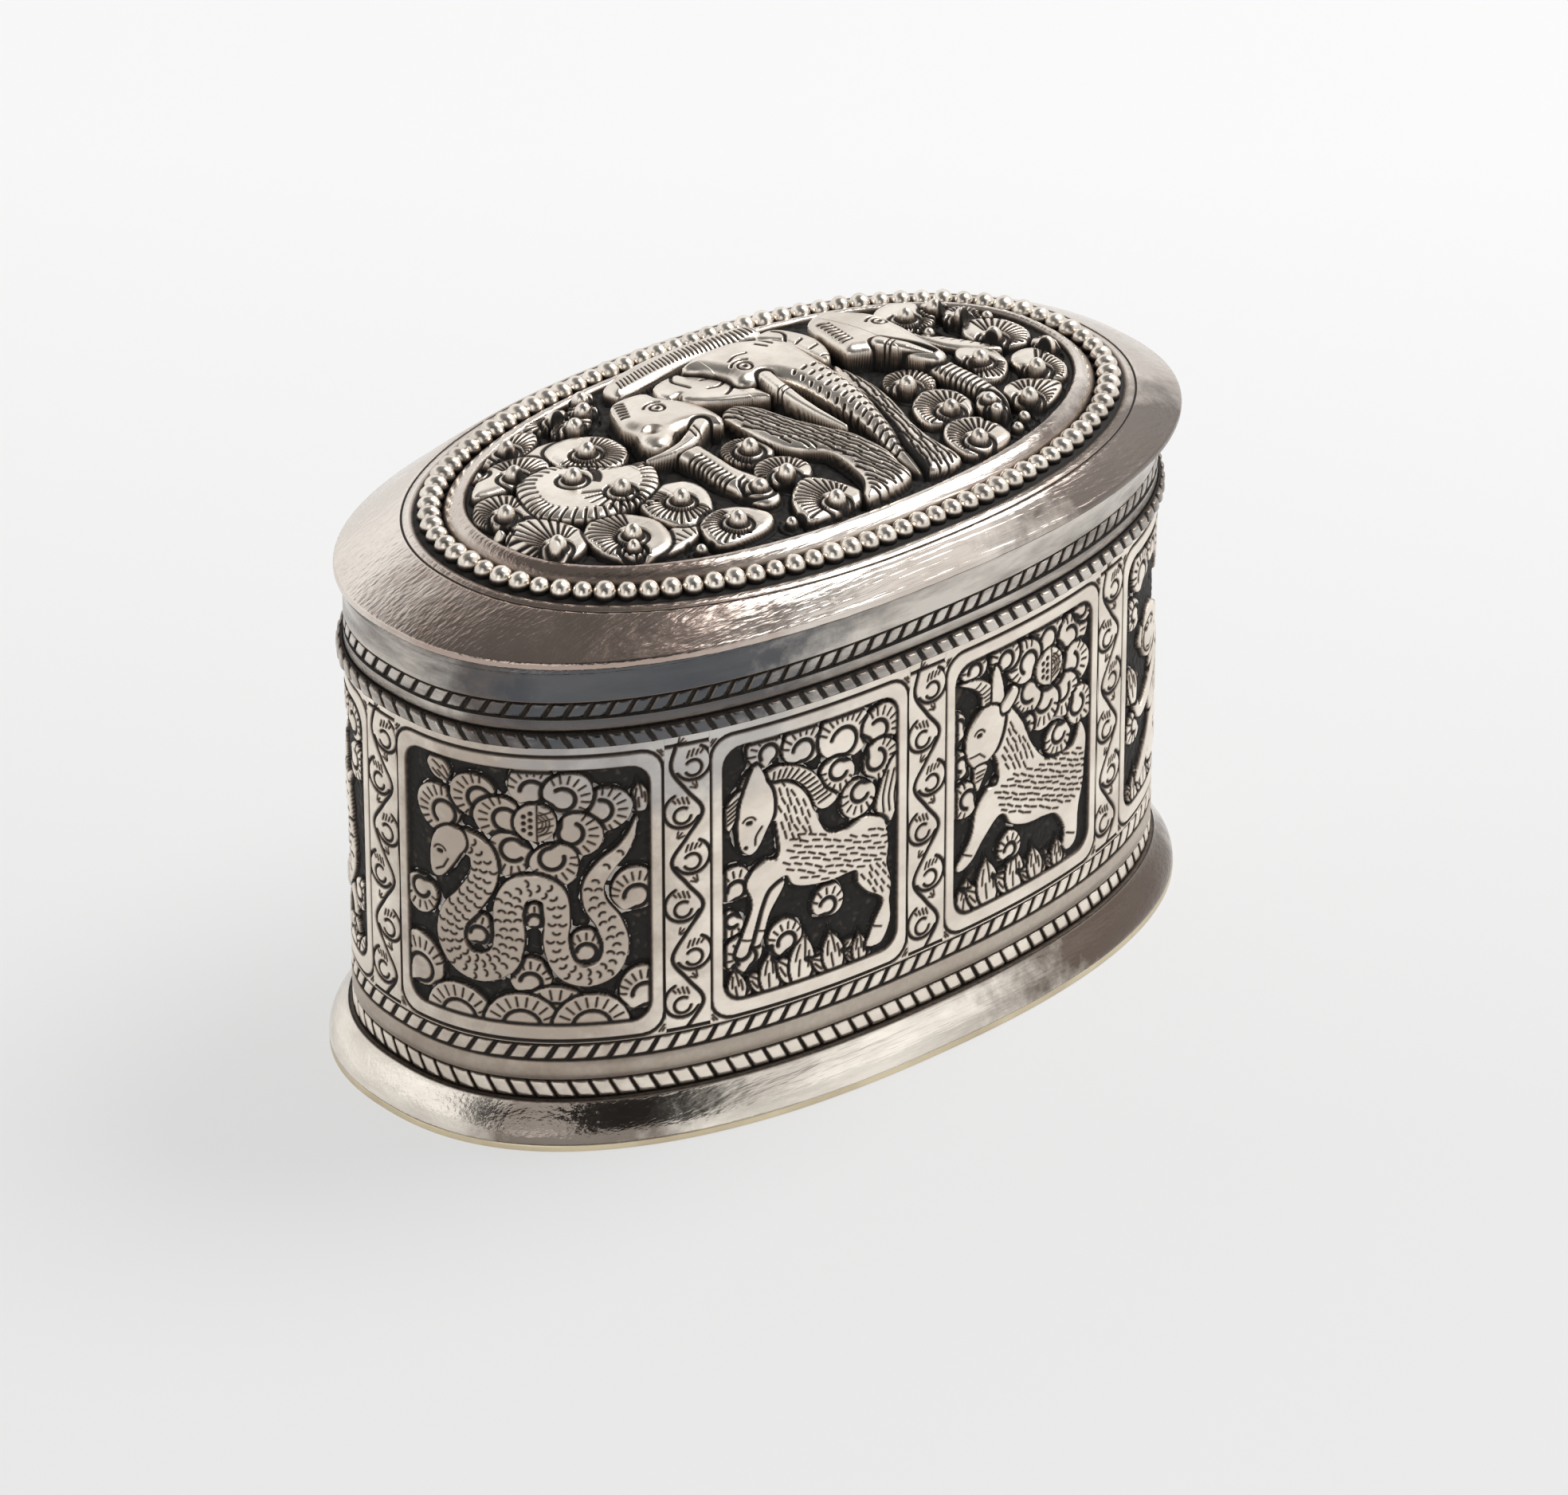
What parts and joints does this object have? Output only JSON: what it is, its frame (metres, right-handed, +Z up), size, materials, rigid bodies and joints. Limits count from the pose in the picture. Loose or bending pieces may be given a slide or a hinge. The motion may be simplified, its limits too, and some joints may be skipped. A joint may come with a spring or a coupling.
{
  "type": "silver_box",
  "caption": "Oval chased silver box with a lift-off lid, a flared foot, sunk panels of animals and elephants in relief.",
  "frame": {"origin": "middle of the foot's underside, on the surface that the box stands on", "axes": "+X along the oval's length, -Y to the front, +Z up"},
  "size_m": [0.1054, 0.061, 0.067],
  "materials": {
    "polished_silver": "polished silver with fine brushing and brown tarnish",
    "chased_silver": "chased silver with black oxide in its grooves",
    "repousse_silver": "raised silver with worn tops and a black oxidised ground",
    "inside_silver": "plain grey silver"
  },
  "bodies": {
    "base": {"foot_rim_wire": "polished_silver", "foot_ring": "polished_silver", "floor_plate": "inside_silver", "body_wall": "chased_silver", "inner_collar": "inside_silver"},
    "lid": {"lid_band": "chased_silver", "lid_moulding": "chased_silver", "lid_top": "repousse_silver"}
  },
  "joints": [
    {"name": "lid_lift", "type": "slide", "parent": "base", "child": "lid", "axis": [0, 0, 1], "range_m": [0, 0.06]}
  ]
}
